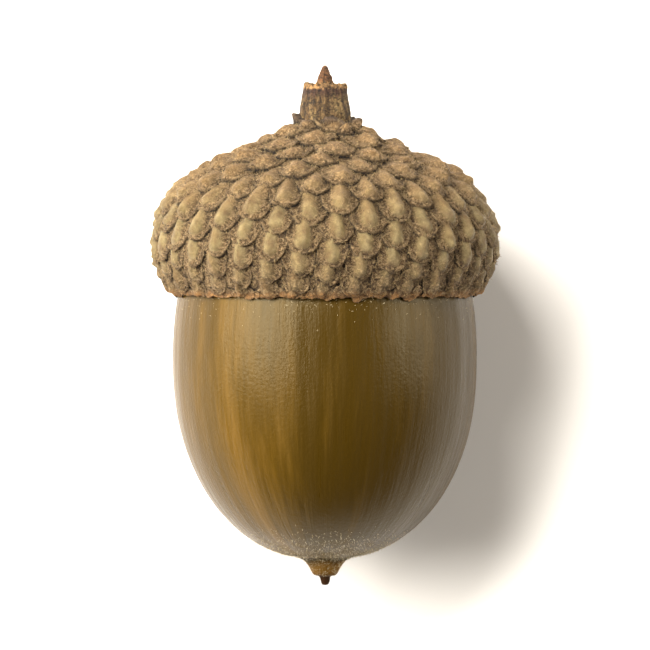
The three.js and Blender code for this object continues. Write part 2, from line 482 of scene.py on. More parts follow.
@dataclass(frozen=True)
class Fur:
    """Short hairs scattered over a surface, as thin tapered blades."""

    name: str
    finish: str
    per_mm2: float
    length: float
    width: float
    lean: float
    seed: int = 3
    shortest: float = 0.45
    least_lean: float = 0.45
    sideways: float = 0.3
    half_turn: float = 3.14

    def blade(self) -> bpy.types.Object:
        """Makes one hair, a unit long, that bends a little towards its tip.

        Returns:
            The hair.
        """
        points = np.array([(-0.5, 0, 0), (0.5, 0, 0), (0.34, 0.1, 0.55), (-0.34, 0.1, 0.55), (0, 0.3, 1)])
        name = self.name + "_blade"
        return make_object(name, mesh_of(name, points, [(0, 1, 2, 3), (3, 2, 4)]))

    def grow(self, host: bpy.types.Mesh) -> bpy.types.Mesh:
        """Scatters the hairs where the host's fur attribute is above 0.

        Args:
            host: the surface, in millimetres, with an attribute named fur.

        Returns:
            The hairs as one mesh.
        """
        blade = self.blade()
        inputs = {
            "Hairs per mm2": self.per_mm2,
            "Length": self.length,
            "Width": self.width,
            "Lean": self.lean,
            "Seed": self.seed,
            "Blade": blade,
        }
        recipe = Recipe(self.name, inputs, self.finish)
        add, given, seed = recipe.add, recipe.given, recipe.given["Seed"]
        fur = add("GeometryNodeInputNamedAttribute", {"Name": "fur"}, data_type="FLOAT")
        density = add("ShaderNodeMath", [fur, given["Hairs per mm2"]], operation="MULTIPLY")
        spots = {"Mesh": given["Mesh"], "Density": density, "Seed": seed}
        spots = add("GeometryNodeDistributePointsOnFaces", spots, distribute_method="RANDOM")
        least = add("ShaderNodeMath", [given["Lean"], self.least_lean], operation="MULTIPLY")
        ends = [
            add("ShaderNodeCombineXYZ", [tilt, -self.sideways * side, -self.half_turn * side])
            for tilt, side in ((least, 1), (given["Lean"], -1))
        ]
        tilts = {0: ends[0], 1: ends[1], "Seed": seed}
        tilts = add("FunctionNodeRandomValue", tilts, data_type="FLOAT_VECTOR")
        tilts = add("FunctionNodeEulerToRotation", [tilts])
        turn = [spots.node.outputs["Rotation"], tilts]
        turn = add("FunctionNodeRotateRotation", turn, rotation_space="LOCAL")
        share = {2: self.shortest, 3: 1.0, "Seed": seed}
        share = add("FunctionNodeRandomValue", share, 1, data_type="FLOAT")
        reach = add("ShaderNodeMath", [share, given["Length"]], operation="MULTIPLY")
        size = add("ShaderNodeCombineXYZ", [given["Width"], reach, reach])
        hairs = recipe.planted({"Points": spots, "Rotation": turn, "Scale": size}, "Blade")
        return recipe.run(host, hairs, blade)


@dataclass
class Nut:
    """The nut: a rounded barrel with a nipple at its tip and the round scar where it grew on, in the cup."""

    radius: float = 10.0
    widest_at: float = -4.1
    below: float = 13.3
    above: float = 13.1
    power_below: float = 2.2
    power_above: float = 2.3
    scar_at: float = 8.5
    nipple: tuple[tuple[float, float], ...] = (
        (0.0, -19.1),
        (0.2, -19.05),
        (0.29, -18.9),
        (0.4, -18.52),
        (0.74, -18.4),
        (1.02, -17.95),
        (1.4, -17.45),
        (2.05, -17.16),
    )
    sides: int = 288
    # How many millimetres the lengthwise ribs, the broad dents and the nipple's lumps stand out
    rib: float = 0.02
    dent: float = 0.05
    lump: float = 0.05
    nipple_starts: float = -17.3
    hidden_above: float = 0.4

    def side(self, reach: float, power: float, rings: int) -> np.ndarray:
        """The radius and height of points from the widest ring to where the superellipse ends.

        Args:
            reach: how far it goes up, or down if below 0.
            power: the superellipse's power.
            rings: how many steps there are.

        Returns:
            The points.
        """
        turn = np.linspace(0, math.pi / 2, rings + 1)
        height = abs(reach) * np.sin(turn) ** (2 / power) * np.sign(reach)
        return np.stack([self.radius * np.cos(turn).clip(0) ** (2 / power), self.widest_at + height], axis=1)

    def profile(self) -> np.ndarray:
        """Draws the outline from the dry tip to the middle of the scar.

        Returns:
            The outline's points, as radius and height.
        """
        below = self.side(-self.below, self.power_below, 90)[::-1]
        above = self.side(self.above, self.power_above, 70)[1:]
        tip = smooth_line(np.array(self.nipple), 44)
        below = below[below[:, 0] > tip[-1, 0] + 0.35]
        above = above[above[:, 1] < self.scar_at - 0.3]
        share = ((self.scar_at - self.widest_at) / self.above) ** self.power_above
        edge = self.radius * (1 - share) ** (1 / self.power_above)
        scar = [(edge * inwards, self.scar_at) for inwards in (1.0, 0.985, 0.8, 0.5, 0.2)]
        return np.concatenate([tip, below, above, scar, [(0.0, self.scar_at)]])

    def downiness(self, points: np.ndarray, radius: np.ndarray) -> np.ndarray:
        """Works out how thickly down grows: thinly along the cup's rim, and thickly round the nipple.

        Args:
            points: the nut's points.
            radius: their distance from the axis.

        Returns:
            How thick the down is at each point.
        """
        height = points[:, 1]
        near_rim = np.clip((height + 2.0) / 2.0, 0, 1) ** 2 * (height < 0.3) * 0.35
        near_tip = np.clip((-14.6 - height) / 2.2, 0, 1) ** 2 * (radius > 0.6) * 2.4
        return near_rim + near_tip

    def build(self, place: AcornFrame) -> list[bpy.types.Object]:
        """Makes the nut and its hairs.

        Args:
            place: where the acorn's frame lies.

        Returns:
            The pieces.
        """
        points, faces = turned(self.profile(), self.sides)
        radius, circle = round_axis(points)
        low, high = points[:, 1] < self.nipple_starts, points[:, 1] > self.hidden_above
        along = np.stack([circle[:, 0] * 9, points[:, 1] * 0.1, circle[:, 1] * 9], axis=1)
        ribs = wobble(along, 1.0, 3.1, 3) * self.rib
        dents = wobble(points, 0.11, 7.7) * self.dent
        dents += np.where(low, wobble(points, 2.4, 1.3, 3) * self.lump, 0)
        grown = 1 + np.where(high, 0, (ribs + dents) / np.maximum(radius, 0.5))
        points[:, [0, 2]] *= grown[:, None]
        mesh = mesh_of("nut_shell", points, faces)
        set_attribute(mesh, "fur", self.downiness(points, radius))
        down = Fur("nut_down", NUT_DOWN.name, 26.0, 0.18, 0.018, 1.5).grow(mesh.copy())
        return [
            laid_down("nut_shell", mesh, NutFinish.name, place),
            laid_down("nut_down", down, NUT_DOWN.name, place),
        ]


@dataclass
class ScaleShape:
    """One scale of the cup: a rounded shield, 1 wide and 1 high, which a keel is raised on later."""

    heel: float = -0.72
    tip: float = 0.74
    half_breadth: float = 0.66
    edge_height: float = 0.52
    dome: float = 0.08
    heel_height: float = -0.12
    depth: float = -0.6
    foot: float = 0.9
    rows: tuple[float, ...] = (-1.0, -0.7, -0.25, 0.15, 0.5, 0.82, 1.0)
    columns: tuple[float, ...] = (-1.0, -0.82, -0.36, 0.0, 0.36, 0.82, 1.0)
    # How near its edge a point is counted where the scale's side goes down into the cup
    below_edge: float = 1.6

    def build(self, name: str) -> bpy.types.Object:
        """Makes the scale with its heel at -X and its face up, closed below.

        Args:
            name: the object's name.

        Returns:
            The object, whose points carry how far along and across the scale they are, and how near its edge.
        """
        middle, half = (self.tip + self.heel) / 2, (self.tip - self.heel) / 2
        points, nearness = [], []
        for u in self.rows:
            for v in self.columns:
                x, y = u * math.sqrt(1 - v * v / 2), v * math.sqrt(1 - u * u / 2)
                rise = (x + 1) / 2
                height = self.heel_height + (self.edge_height - self.heel_height) * rise
                height += self.dome * rise * (1 - (x * x + y * y))
                points.append((middle + half * x, self.half_breadth * y, height))
                nearness.append(x * x + y * y)
        last, row = len(self.rows) - 1, len(self.columns)
        quads = [(i * row + j, (i + 1) * row + j) for i in range(last) for j in range(row - 1)]
        faces: Faces = [(a, b, b + 1, a + 1) for a, b in quads]
        edge = [i * row for i in range(last)] + [last * row + j for j in range(row - 1)]
        edge += [(last - i) * row + row - 1 for i in range(last)] + [row - 1 - j for j in range(row - 1)]
        start, count = len(points), len(edge)
        for k in edge:
            x, y, _ = points[k]
            points.append((middle + (x - middle) * self.foot, y * self.foot, self.depth))
            nearness.append(self.below_edge)
        for k in range(count):
            after = (k + 1) % count
            faces.append((start + k, start + after, edge[after], edge[k]))
        faces.append(tuple(start + k for k in reversed(range(count))))
        places = np.array(points)
        mesh = mesh_of(name, places, faces)
        carried = {"length": places[:, 0], "breadth": places[:, 1], "edge": np.array(nearness)}
        for label, values in carried.items():
            set_attribute(mesh, label, values)
        return make_object(name, mesh)


@dataclass
class Cup:
    """The cup: a bowl of felted skin, with overlapping scales that follow one lattice from stalk to rim."""

    crest: Crest = field(default_factory=Crest)
    shape: ScaleShape = field(default_factory=ScaleShape)
    lump: ScaleShape = field(default_factory=lambda: ScaleShape(edge_height=0.2, dome=1.5))
    seat_gap: float = 0.15
    # One scale every divergence degrees round the cup, each with its own share of the skin in mm2
    divergence: float = 137.6
    first_angle: float = 20.0
    share_at_crown: float = 4.87
    share_at_rim: float = 1.95
    share_power: float = 3.0
    turn_spread: float = 9.0
    size_spread: float = 0.09
    seed: int = 11
    # Heights are in reliefs and the peak's place and the breadth in widths of the scale, but for the lip's mm
    keel_height: float = 0.98
    keel_peak: float = 0.28
    keel_breadth: float = 0.27
    lip_height: float = 0.08
    lip_at: float = 0.84
    roughness: float = 0.32
    # Shares of the way to the rim between which the crown's look gives way to the wall's
    crown_ends: float = 0.15
    wall_starts: float = 0.6
    fringe_count: int = 130
    fringe_at: float = 0.972
    # The scales crowded against the stalk: share of the way to the rim, degrees round, size and relief
    collar: tuple[tuple[float, float, float, float], ...] = (
        (0.018, 8.0, 1.45, 1.25),
        (0.075, 29.0, 1.2, 1.0),
        (0.036, 62.0, 1.35, 0.95),
        (0.042, -34.0, 1.4, 1.0),
        (0.008, -78.0, 1.15, 0.95),
        (0.01, -128.0, 1.5, 1.0),
        (0.02, 120.0, 1.5, 1.0),
        (0.01, 172.0, 1.6, 1.1),
    )
    # Radius and height of the stalk's socket, from its mouth to its floor
    socket: tuple[tuple[float, float], ...] = ((1.72, 11.2), (1.7, 10.1), (1.2, 10.05), (0.0, 10.05))
    sides: int = 220

    def places(self) -> list[tuple[float, float, float, float]]:
        """Works out where each scale sits.

        Returns:
            For each scale, its share of the way to the rim, its angle, its turn and its width.
        """
        draw = np.random.default_rng(self.seed).uniform
        steps = self.crest.steps
        found: list[tuple[float, float, float, float]] = []
        filled = 0.0
        for step in range(steps):
            along = (step + 0.5) / steps
            radius = self.crest.at(np.array(along))[0][0]
            share = self.share_at_crown + (self.share_at_rim - self.share_at_crown) * along**self.share_power
            filled += 2 * math.pi * radius * self.crest.length / steps / share
            if filled > len(found) + 0.5:
                angle = math.radians(self.first_angle + self.divergence * len(found))
                turn = math.radians(draw(-1, 1) * self.turn_spread)
                found.append((along, angle, turn, math.sqrt(share) * (1 + draw(-1, 1) * self.size_spread)))
        return found

    def scale_points(self) -> bpy.types.Mesh:
        """Makes the points that carry the scales, drawn back and smaller where they would pass the rim.

        Returns:
            The points.
        """
        rows = []
        draw = np.random.default_rng(self.seed + 1).random
        for along, angle, turn, width in self.places():
            chance = draw()
            over = along + self.shape.tip * width / self.crest.length - 1.0
            if over > 0:
                width *= 1 - min(0.3, over * 4)
                over = along + self.shape.tip * width / self.crest.length - 1.0
                along -= max(over, 0) - 0.006 * (2 * draw() - 1)
            relief = float(self.crest.relief(np.array(along)))
            slim = 1.0 - 0.05 * along
            rows.append((along, angle, turn, width / slim, width * slim, relief, chance))
        return self.carrier("scale_points", rows)

    def fringe_points(self) -> bpy.types.Mesh:
        """Makes the points that carry the ragged little scales at the rim, which lie over the nut's edge.

        Returns:
            The points.
        """
        rows = []
        chances = np.random.default_rng(self.seed + 2).random((self.fringe_count, 2))
        for k, (chance, other) in enumerate(chances):
            angle = 2 * math.pi * (k + 0.5 * chance) / self.fringe_count
            size = 0.3 + 0.4 * other
            turn, relief = 2.2 * (chance - 0.5), 0.12 + 0.08 * other
            along = self.fringe_at + 0.014 * chance
            rows.append((along, angle, turn, size, size * 1.3, relief, other * 0.5))
        return self.carrier("fringe_points", rows)

    def collar_points(self) -> bpy.types.Mesh:
        """Makes the points that carry the lumpy scales crowded against the stalk.

        Returns:
            The points.
        """
        draw = np.random.default_rng(self.seed + 3).uniform
        rows = [
            (along, math.radians(degrees), draw(-0.3, 0.3), size * 0.9, size, relief, 0.3)
            for along, degrees, size, relief in self.collar
        ]
        return self.carrier("collar_points", rows)

    def carrier(self, name: str, rows: list[tuple[float, ...]]) -> bpy.types.Mesh:
        """Makes points that carry scales, each with its turn, its size, its way out and its tint.

        Args:
            name: the mesh's name.
            rows: each scale's share of the way to the rim, angle, turn, length, breadth, relief and tint.

        Returns:
            The points.
        """
        points, turns, sizes, ways, tints = [], [], [], [], []
        for along, angle, turn, length, breadth, relief, tint in rows:
            (radius, height), (out, up) = self.crest.at(np.array(along))
            across = Vector((math.cos(angle), 0, -math.sin(angle)))
            outward = Vector((out * math.sin(angle), up, out * math.cos(angle)))
            basis = Matrix((across.cross(outward), across, outward)).transposed()
            base = Vector((radius * math.sin(angle), height, radius * math.cos(angle)))
            points.append(base - outward * relief)
            turns.append((basis @ Matrix.Rotation(turn, 3, "Z")).to_euler())
            sizes.append((length, breadth, relief))
            ways.append(outward * relief)
            tints.append((tint, along))
        mesh = mesh_of(name, np.array(points), [])
        tint, along = np.array(tints).T
        carried = {"turn": turns, "size": sizes, "way": ways, "tint": tint, "along": along}
        for label, values in carried.items():
            set_attribute(mesh, label, np.array(values))
        return mesh

    def keeled(self, recipe: Recipe, mesh: bpy.types.NodeSocket) -> bpy.types.NodeSocket:
        """Raises on each scale a keel that rises slowly from its heel and ends in a blunt nose.

        Args:
            recipe: the recipe of the scales.
            mesh: the plain scales.

        Returns:
            The keeled scales, whose points also carry how high on the keel they are.
        """
        add, given = recipe.add, recipe.given
        tint, down, length, breadth, edge = (
            add("GeometryNodeInputNamedAttribute", {"Name": name}, data_type="FLOAT")
            for name in ("tint", "along", "length", "breadth", "edge")
        )
        peak = add("ShaderNodeMath", [tint, 0.12, given["Keel peak"]], operation="MULTIPLY_ADD")
        past = add("ShaderNodeMath", [length, peak], operation="SUBTRACT")
        gentle, steep, slim, tall = (
            add("ShaderNodeMapRange", [down, self.crown_ends, self.wall_starts, at_crown, on_wall])
            for at_crown, on_wall in ((2.1, 0.95), (3.2, 4.6), (1.15, 1.0), (0.55, 1.0))
        )
        slope = add("ShaderNodeMapRange", [past, -0.08, 0.08, gentle, steep])
        along = add("ShaderNodeMath", [past, slope], operation="MULTIPLY")
        along = add("ShaderNodeMath", [along, 2.0], operation="POWER")
        slim = add("ShaderNodeMath", [slim, given["Keel breadth"]], operation="MULTIPLY")
        across = add("ShaderNodeMath", [breadth, slim], operation="DIVIDE")
        across = add("ShaderNodeMath", [across], operation="ABSOLUTE")
        across = add("ShaderNodeMath", [across, 1.7], operation="POWER")
        fall = add("ShaderNodeMath", [along, across], operation="ADD")
        fall = add("ShaderNodeMath", [fall, -1.0], operation="MULTIPLY")
        keel = add("ShaderNodeMath", [fall], operation="EXPONENT")
        top = add("ShaderNodeMath", [edge, 1.05], operation="LESS_THAN")
        keel = add("ShaderNodeMath", [keel, top], operation="MULTIPLY")
        keel = add("ShaderNodeMapRange", [keel, 0.14, 0.88])
        shown = add("ShaderNodeMath", [given["Keel height"], 1.0], operation="MINIMUM")
        shown = add("ShaderNodeMath", [keel, shown], operation="MULTIPLY")
        stored = {0: mesh, "Name": "keel", "Value": shown}
        mesh = add("GeometryNodeStoreNamedAttribute", stored, data_type="FLOAT")
        vary = add("ShaderNodeMath", [tint, 0.5, 0.75], operation="MULTIPLY_ADD")
        vary = add("ShaderNodeMath", [vary, tall], operation="MULTIPLY")
        lift = add("ShaderNodeMath", [keel, vary], operation="MULTIPLY")
        lift = add("ShaderNodeMath", [lift, given["Keel height"]], operation="MULTIPLY")
        way = add("GeometryNodeInputNamedAttribute", {"Name": "way"}, data_type="FLOAT_VECTOR")
        shift = add("ShaderNodeVectorMath", {0: way, "Scale": lift}, operation="SCALE")
        return add("GeometryNodeSetPosition", {0: mesh, "Offset": shift})

    def lipped(self, recipe: Recipe, mesh: bpy.types.NodeSocket) -> bpy.types.NodeSocket:
        """Raises the felted lip along each scale's edge.

        Args:
            recipe: the recipe of the scales.
            mesh: the keeled scales.

        Returns:
            The scales with their lips.
        """
        add = recipe.add
        edge = add("GeometryNodeInputNamedAttribute", {"Name": "edge"}, data_type="FLOAT")
        lip = add("ShaderNodeMath", [edge, self.lip_at], operation="SUBTRACT")
        for operation, value in (("MULTIPLY", 8.0), ("POWER", 2.0), ("MULTIPLY", -1.0)):
            lip = add("ShaderNodeMath", [lip, value], operation=operation)
        lip = add("ShaderNodeMath", [lip], operation="EXPONENT")
        lip = add("ShaderNodeMath", [lip, recipe.given["Lip height"]], operation="MULTIPLY")
        way = add("GeometryNodeInputNamedAttribute", {"Name": "way"}, data_type="FLOAT_VECTOR")
        way = add("ShaderNodeVectorMath", [way], operation="NORMALIZE")
        shift = add("ShaderNodeVectorMath", {0: way, "Scale": lip}, operation="SCALE")
        return add("GeometryNodeSetPosition", {0: mesh, "Offset": shift})

    def scales(
        self, name: str, carrier: bpy.types.Mesh, shape: ScaleShape, keel_height: float, lip_height: float
    ) -> bpy.types.Mesh:
        """Makes scales as one mesh.

        Args:
            name: the mesh's name.
            carrier: the points that carry the scales.
            shape: the scale before its keel is raised.
            keel_height: how high the keels are, in reliefs.
            lip_height: how high the felted lip along each edge is, in millimetres.

        Returns:
            The mesh.
        """
        scale = shape.build("scale")
        inputs = {
            "Scale": scale,
            "Keel height": keel_height,
            "Keel peak": self.keel_peak,
            "Keel breadth": self.keel_breadth,
            "Lip height": lip_height,
            "Roughness": self.roughness,
        }
        recipe = Recipe(name, inputs, CupFinish.name)
        add, given = recipe.add, recipe.given
        turn, size = (
            add("GeometryNodeInputNamedAttribute", {"Name": label}, data_type="FLOAT_VECTOR")
            for label in ("turn", "size")
        )
        turn = add("FunctionNodeEulerToRotation", [turn])
        made = recipe.planted({"Points": given["Mesh"], "Rotation": turn, "Scale": size}, "Scale", levels=1)
        made = self.lipped(recipe, self.keeled(recipe, made))
        down = add("GeometryNodeInputNamedAttribute", {"Name": "along"}, data_type="FLOAT")
        coarse = add("ShaderNodeMapRange", [down, 0.1, self.wall_starts, 2.0, 1.1])
        coarse = add("ShaderNodeMath", [coarse, given["Roughness"]], operation="MULTIPLY")
        fine = add("ShaderNodeMath", [coarse, 0.45], operation="MULTIPLY")
        made = recipe.roughened(recipe.roughened(made, 1.3, coarse), 4.5, fine)
        return recipe.run(carrier, made, scale)

    def bowl(self, nut: Nut) -> bpy.types.Mesh:
        """Makes the skin between the scales, the thin rim, the lining and the socket of the stalk.

        Args:
            nut: the nut that it holds.

        Returns:
            The mesh.
        """
        gap = self.seat_gap
        above = nut.side(nut.above, nut.power_above, 48)
        above = above[(above[:, 1] > 0.05) & (above[:, 1] < nut.scar_at - 0.2)]
        lining = above + [gap, 0]
        top = nut.scar_at + gap
        cover = [(0.0, top), (lining[-1, 0] * 0.5, top), (lining[-1, 0] * 0.97, top)]
        along = np.linspace(1, 0, 120)
        points, ways = self.crest.at(along)
        skin = points - ways * (self.crest.relief(along) * (0.96 - 0.3 * along**4))[:, None]
        wall = np.interp(skin[:, 1], above[:, 1], above[:, 0] + gap + 0.12, right=0)
        skin[:, 0] = np.maximum(skin[:, 0], wall)
        profile = np.concatenate([cover, lining[::-1], skin, self.socket])
        points, faces = turned(profile, self.sides)
        outer = 1 + self.sides * (len(cover) - 1 + len(lining))
        rough = wobble(points, 1.1, 4.4, 3) * 0.07
        rough[:outer] = 0
        radius, _ = round_axis(points)
        points[:, [0, 2]] *= (1 + rough / np.maximum(radius, 1.0))[:, None]
        return mesh_of("cup_bowl", points, faces)

    def felt(self, scales: bpy.types.Mesh) -> bpy.types.Mesh:
        """Grows short felt on the scales' faces, thinner on their worn keels.

        Args:
            scales: the scales.

        Returns:
            The hairs as one mesh.
        """
        edge, keel = np.zeros((2, len(scales.vertices)))
        scales.attributes["edge"].data.foreach_get("value", edge)
        scales.attributes["keel"].data.foreach_get("value", keel)
        height = points_of(scales)[:, 1]
        furry = (height > 0.2) & (edge < 1.1)
        smooth = keel * np.interp(height, (5.0, 9.0), (1.4, 0.5))
        set_attribute(scales, "fur", furry * np.clip(1.1 - smooth, 0.05, 1))
        return Fur("cup_felt", CUP_FELT.name, 44.0, 0.27, 0.023, 1.5, seed=8).grow(scales.copy())

    def build(self, place: AcornFrame, nut: Nut) -> list[bpy.types.Object]:
        """Makes the cup's pieces.

        Args:
            place: where the acorn's frame lies.
            nut: the nut that it holds.

        Returns:
            The pieces.
        """
        scales = self.scales("cup_scales", self.scale_points(), self.shape, self.keel_height, self.lip_height)
        fringe = self.scales("cup_fringe", self.fringe_points(), self.shape, 0.0, 0.0)
        collar = self.scales("cup_collar", self.collar_points(), self.lump, 0.5, 0.0)
        bowl, felt = self.bowl(nut), self.felt(scales)
        return [
            laid_down("cup_scales", scales, CupFinish.name, place),
            laid_down("cup_bowl", bowl, CupFinish.name, place),
            laid_down("cup_fringe", fringe, CupFinish.name, place),
            laid_down("cup_collar", collar, CupFinish.name, place),
            laid_down("cup_felt", felt, CUP_FELT.name, place),
        ]


@dataclass
class Stalk:
    """The stub of stalk with its torn top, and the pointed thread of wood that stands on it."""

    outline: tuple[tuple[float, float], ...] = (
        (0.0, 10.2),
        (1.3, 10.2),
        (1.45, 10.25),
        (1.58, 11.0),
        (1.66, 12.1),
        (1.52, 12.9),
        (1.43, 13.5),
        (1.42, 13.85),
        (1.3, 13.98),
        (1.1, 13.92),
        (0.68, 13.86),
        (0.55, 14.1),
        (0.38, 14.6),
        (0.18, 15.1),
        (0.0, 15.25),
    )
    sides: int = 192
    thread_radius: float = 0.7
    thread_starts: float = 13.95
    hidden_below: float = 10.6
    # How many millimetres the grooves, the lumps, the thread's grains and the torn edge stand out
    groove: float = 0.09
    lump: float = 0.05
    grain: float = 0.08
    tear: float = 0.24

    def build(self, place: AcornFrame) -> list[bpy.types.Object]:
        """Makes the stalk.

        Args:
            place: where the acorn's frame lies.

        Returns:
            The pieces.
        """
        points, faces = turned(smooth_line(np.array(self.outline), 150), self.sides)
        radius, circle = round_axis(points)
        height = points[:, 1]
        fibres = np.stack([circle[:, 0] * 6, height * 0.5, circle[:, 1] * 6], axis=1)
        grooves = wobble(fibres, 1.0, 5.2, 3) * self.groove
        lumps = wobble(points, 1.0, 9.1, 2) * self.lump
        grains = wobble(points, 5.0, 2.6, 2) * self.grain
        thread = np.clip((height - self.thread_starts) / 0.2, 0, 1) * (radius < self.thread_radius)
        change = (1 - thread) * (grooves + lumps) + thread * grains
        change[height < self.hidden_below] = 0
        points[:, [0, 2]] *= (1 + change / np.maximum(radius, 0.4))[:, None]
        torn = np.clip((height - 13.6) / 0.3, 0, 1) * (1 - thread)
        points[:, 1] += torn * wobble(fibres * [1.6, 0, 1.6], 1.0, 1.1, 2) * self.tear
        return [laid_down("stalk_stub", mesh_of("stalk_stub", points, faces), StalkFinish.name, place)]


def start_material(name: str) -> tuple[bpy.types.Node, partial]:
    """Makes an empty material.

    Args:
        name: what the surface is.

    Returns:
        Its surface shader, and what adds nodes to its tree.
    """
    material = bpy.data.materials.new(name)
    material.use_nodes = True
    material.node_tree.nodes.clear()
    add = partial(add_node, material.node_tree)
    surface = add("ShaderNodeBsdfPrincipled")
    add("ShaderNodeOutputMaterial", {"Surface": surface})
    return surface.node, add


def lengthwise(
    add: partial, point: bpy.types.NodeSocket, around: float, along: float
) -> bpy.types.NodeSocket:
    """Works out coordinates that draw a pattern out along the axis.

    Args:
        add: what adds nodes to the tree.
        point: the surface point, in millimetres.
        around: the pattern's repeats on a circle with a radius of 1.
        along: its repeats in a millimetre along the axis.

    Returns:
        The coordinates.
    """
    flat = add("ShaderNodeVectorMath", [point, (1, 0, 1)], operation="MULTIPLY")
    circle = add("ShaderNodeVectorMath", [flat], operation="NORMALIZE")
    height = add("ShaderNodeVectorMath", [point, (0, along, 0)], operation="MULTIPLY")
    return add("ShaderNodeVectorMath", [circle, (around,) * 3, height], operation="MULTIPLY_ADD")


@dataclass(frozen=True)
class NutFinish:
    """A glossy shell: olive brown with amber streaks that run lengthwise and meet at the tip."""

    # Waxy nutshell, as it grew: a broad soft gleam, broken up a little by the grain
    name: str = "polished_nutshell"
    dark: str = "#362704"
    middle: str = "#463308"
    light: str = "#5c4416"
    tip: str = "#5f4c20"
    gleam: str = "#fff2cf"
    roughness: float = 0.34
    gloss: float = 0.24
    # The ring, the nipple and its dry end: colour, the heights it comes in between, and how far it covers
    zones: tuple[tuple[str, float, float, float], ...] = (
        ("#2e230d", -16.6, -16.85, 0.9),
        ("#6e5024", -17.0, -17.4, 0.85),
        ("#2c1a10", -17.75, -18.05, 0.95),
    )
    # Noises from broad to fine: repeats round a unit circle, repeats in a millimetre lengthwise, and detail
    streaks: tuple[tuple[float, float, float], ...] = ((3.2, 0.045, 3.0), (17.0, 0.12, 4.0), (46.0, 0.5, 3.0))
    pebbles_per_mm: float = 4.6
    # The real grain is a few hundredths of a millimetre deep
    relief: float = 0.018

    def shell(self, add: partial, point: bpy.types.NodeSocket, noises: list) -> bpy.types.NodeSocket:
        """Colours the bare shell with its own streaks, and paints light onto the left flank of what the
        camera sees and shade across the middle and right, as the key lamp falls from the left.

        Args:
            add: what adds nodes to the tree.
            point: the surface point, in millimetres.
            noises: the broad, middling and fine streaks.

        Returns:
            The colour.
        """
        broad, streak, fine = noises
        across = add("ShaderNodeSeparateXYZ", [lengthwise(add, point, 1.0, 0.0)], "X")
        # Painted light and shade: lighter on the left flank, darker across the middle and right, as the key
        # lamp falls from the left
        side = add("ShaderNodeMapRange", [across, -0.7, -0.02, 0.1, -0.16], interpolation_type="SMOOTHSTEP")
        mixed = add("ShaderNodeMath", [broad, side], operation="ADD")
        for finer in (streak, fine):
            mixed = add("ShaderNodeMath", [finer, 0.25, mixed], operation="MULTIPLY_ADD")
        spread = add("ShaderNodeMapRange", [mixed, 0.54, 1.14])
        stops = [(0.15, self.dark), (0.5, self.middle), (0.85, self.light)]
        return add("ShaderNodeValToRGB", [spread], stops=stops)

    def build(self, place: AcornFrame) -> None:
        """Makes the material.

        Args:
            place: where the acorn's frame lies.
        """
        shader, add = start_material(self.name)
        point = place.coordinates(shader.id_data)
        noises = []
        for around, along, detail in self.streaks:
            vector = lengthwise(add, point, around, along)
            grain = {"Vector": vector, "Scale": 1.0, "Detail": detail, "Roughness": 0.6}
            noises.append(add("ShaderNodeTexNoise", grain))
        _, streak, fine = noises
        height = add("ShaderNodeSeparateXYZ", [point], "Y")
        patch = add("ShaderNodeTexNoise", {"Vector": point, "Scale": 1.1, "Detail": 4.0})
        ragged = add("ShaderNodeMath", [patch, 2.2, height], operation="MULTIPLY_ADD")
        downy = add("ShaderNodeMapRange", [ragged, -14.8, -16.4])
        downy = add("ShaderNodeMath", [downy, 0.7], operation="MULTIPLY")
        ragged = add("ShaderNodeMath", [patch, 0.8, height], operation="MULTIPLY_ADD")
        layers = [(downy, self.tip)]
        for colour, start, stop, most in self.zones:
            layers.append((add("ShaderNodeMapRange", [ragged, start, stop, 0.0, most]), colour))
        body = self.shell(add, point, noises)
        for share, colour in layers:
            mixed = {0: share, MIX_A: body, MIX_B: linear(colour)}
            body = add("ShaderNodeMix", mixed, MIX_COLOUR, data_type="RGBA")
        rough = add("ShaderNodeMapRange", [streak, 0.3, 0.7, self.roughness - 0.08, self.roughness + 0.1])
        pebbles = add("ShaderNodeTexNoise", {"Vector": point, "Scale": self.pebbles_per_mm, "Detail": 2.0})
        grain = add("ShaderNodeMath", [streak, fine], operation="ADD")
        grain = add("ShaderNodeMath", [grain, 1.3, pebbles], operation="MULTIPLY_ADD")
        dressed = {
            "Base Color": body,
            "Specular Tint": linear(self.gleam),
            "Specular IOR Level": add("ShaderNodeMapRange", [downy, 0.0, 0.7, self.gloss, 0.05]),
            "Roughness": add("ShaderNodeMath", [downy, 0.35, rough], operation="MULTIPLY_ADD"),
            "Normal": add("ShaderNodeBump", {"Height": grain, "Distance": self.relief * MM, "Strength": 1.0}),
        }
        feed(shader, dressed)


@dataclass(frozen=True)
class DownFinish:
    """Hairs, in patches of a darker and a lighter colour."""

    name: str
    dark: str
    light: str
    patches_per_mm: float
    roughness: float

    def build(self, place: AcornFrame) -> None:
        """Makes the material.

        Args:
            place: where the acorn's frame lies.
        """
        shader, add = start_material(self.name)
        grain = {"Vector": place.coordinates(shader.id_data), "Scale": self.patches_per_mm}
        stops = [(0.35, self.dark), (0.65, self.light)]
        body = add("ShaderNodeValToRGB", [add("ShaderNodeTexNoise", grain)], stops=stops)
        feed(shader, {"Base Color": body, "Roughness": self.roughness})


# Plant down that clings to the shell beside the cup and round its tip: whitish specks with no gleam
NUT_DOWN = DownFinish("whitish_down", "#8d7a55", "#e2d3ae", 3.0, 0.75)
# Plant felt on the scales: a dusty pale bloom on their edges
CUP_FELT = DownFinish("pale_felt", "#5f4629", "#b49a6c", 4.0, 0.8)


